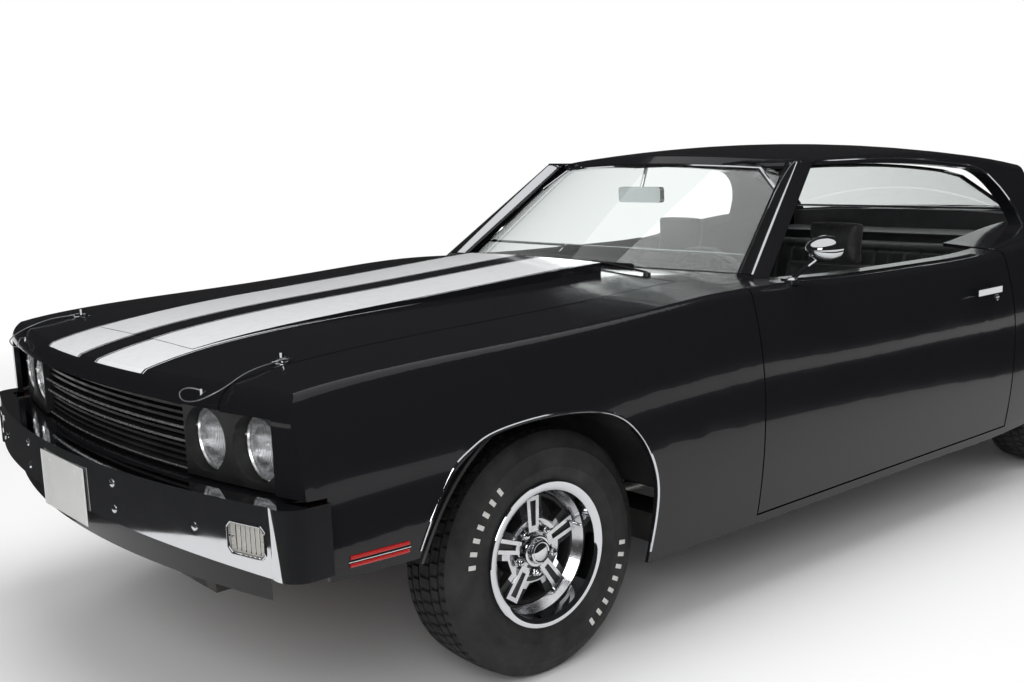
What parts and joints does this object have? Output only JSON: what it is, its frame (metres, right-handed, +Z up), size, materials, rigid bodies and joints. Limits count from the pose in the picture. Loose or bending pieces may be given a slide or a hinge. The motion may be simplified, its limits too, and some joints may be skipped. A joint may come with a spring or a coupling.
{
  "type": "muscle car",
  "caption": "Two-door hardtop with a long hood, hinged doors, hood and boot lid, steered front wheels, five-spoke wheels and chrome bumpers.",
  "frame": {"origin": "on the ground, under the middle of the car's length and width", "axes": "+X to the car's left, +Y to its rear, +Z up"},
  "size_m": [1.9596, 5.0121, 1.3439],
  "materials": {
    "body_paint": "gloss black with white hood stripes",
    "clear_glass": "clear",
    "chrome": "polished",
    "headlamp_glass": "fluted",
    "amber_lens": "ribbed",
    "red_lens": "ribbed",
    "satin_black": "satin",
    "plate_blank": "satin",
    "frame_black": "satin",
    "engine_iron": "painted",
    "exhaust_steel": "dull",
    "tank_steel": "dull",
    "cabin_vinyl": "grained",
    "dash_plastic": "grained",
    "tyre_rubber": "matte",
    "wheel_alloy": "polished, black between the spokes",
    "lanyard_coat": "coated wire"
  },
  "bodies": {
    "body": {"roof": "body_paint", "firewall_cowl": "body_paint", "tail_panel": "body_paint", "front_fender_left": "body_paint", "front_fender_right": "body_paint", "quarter_panel_left": "body_paint", "quarter_panel_right": "body_paint", "rocker_sills": "body_paint", "front_valance": "body_paint", "windshield": "clear_glass", "rear_window": "clear_glass", "front_bumper": "chrome", "rear_bumper": "chrome", "interior_mirror": "chrome", "hood_pins": "chrome", "headlamps": "headlamp_glass", "turn_lamps": "amber_lens", "tail_lamps": "red_lens", "grille": "satin_black", "headlamp_bezels": "satin_black", "radiator_support": "satin_black", "front_wheelhouses": "satin_black", "rear_wheelhouses": "satin_black", "floor_pan": "satin_black", "front_plate": "plate_blank", "frame": "frame_black", "front_control_arms": "frame_black", "rear_axle": "frame_black", "engine": "engine_iron", "driveline": "engine_iron", "exhaust": "exhaust_steel", "fuel_tank": "tank_steel", "front_seat_left": "cabin_vinyl", "front_seat_right": "cabin_vinyl", "rear_seat": "cabin_vinyl", "rear_shelf": "cabin_vinyl", "dashboard": "dash_plastic", "steering_column": "dash_plastic"},
    "door_left": {"door_left": "body_paint", "door_handle_left": "chrome", "door_mirror": "chrome"},
    "door_right": {"door_right": "body_paint", "door_handle_right": "chrome"},
    "hood": {"hood": "body_paint", "hood_pin_plates": "chrome", "hood_lanyard_left": "lanyard_coat", "hood_lanyard_right": "lanyard_coat"},
    "trunk_lid": {"trunk_lid": "body_paint"},
    "knuckle_left": {"knuckle_left": "frame_black"},
    "knuckle_right": {"knuckle_right": "frame_black"},
    "steering_wheel": {"steering_wheel": "dash_plastic"},
    "wheel_front_left": {"tyre_front_left": "tyre_rubber", "rim_front_left": "wheel_alloy"},
    "wheel_front_right": {"tyre_front_right": "tyre_rubber", "rim_front_right": "wheel_alloy"},
    "wheel_rear_left": {"tyre_rear_left": "tyre_rubber", "rim_rear_left": "wheel_alloy"},
    "wheel_rear_right": {"tyre_rear_right": "tyre_rubber", "rim_rear_right": "wheel_alloy"}
  },
  "joints": [
    {"name": "steer_left", "type": "hinge", "parent": "body", "child": "knuckle_left", "pos_m": [0.7, -1.5795, 0.33], "axis": [0, 0, 1], "range_deg": [-32, 32]},
    {"name": "steer_right", "type": "hinge", "parent": "body", "child": "knuckle_right", "pos_m": [-0.7, -1.5795, 0.33], "axis": [0, 0, 1], "range_deg": [-32, 32]},
    {"name": "steering_turn", "type": "hinge", "parent": "body", "child": "steering_wheel", "pos_m": [0.395, -0.3445, 0.83], "axis": [0, 0.8988, 0.4384], "range_deg": [-520, 520]},
    {"name": "door_left_hinge", "type": "hinge", "parent": "body", "child": "door_left", "pos_m": [0.9455, -0.7855, 0.6], "axis": [0, 0, -1], "range_deg": [0, 65]},
    {"name": "door_right_hinge", "type": "hinge", "parent": "body", "child": "door_right", "pos_m": [-0.9455, -0.7855, 0.6], "axis": [0, 0, 1], "range_deg": [0, 65]},
    {"name": "hood_hinge", "type": "hinge", "parent": "body", "child": "hood", "pos_m": [0, -0.8695, 1.0035], "axis": [-1, 0, 0], "range_deg": [0, 50]},
    {"name": "trunk_hinge", "type": "hinge", "parent": "body", "child": "trunk_lid", "pos_m": [0, 1.5825, 1.0135], "axis": [1, 0, 0], "range_deg": [0, 60]},
    {"name": "wheel_front_left_spin", "type": "hinge", "parent": "knuckle_left", "child": "wheel_front_left", "pos_m": [0.762, -1.5795, 0.33], "axis": [1, 0, 0], "continuous": true},
    {"name": "wheel_rear_left_spin", "type": "hinge", "parent": "body", "child": "wheel_rear_left", "pos_m": [0.762, 1.2655, 0.33], "axis": [1, 0, 0], "continuous": true},
    {"name": "wheel_front_right_spin", "type": "hinge", "parent": "knuckle_right", "child": "wheel_front_right", "pos_m": [-0.762, -1.5795, 0.33], "axis": [1, 0, 0], "continuous": true},
    {"name": "wheel_rear_right_spin", "type": "hinge", "parent": "body", "child": "wheel_rear_right", "pos_m": [-0.762, 1.2655, 0.33], "axis": [1, 0, 0], "continuous": true}
  ],
  "couplings": [
    {"joint": "steer_right", "follows": "steer_left", "ratio": 1},
    {"joint": "steering_turn", "follows": "steer_left", "ratio": 16}
  ]
}
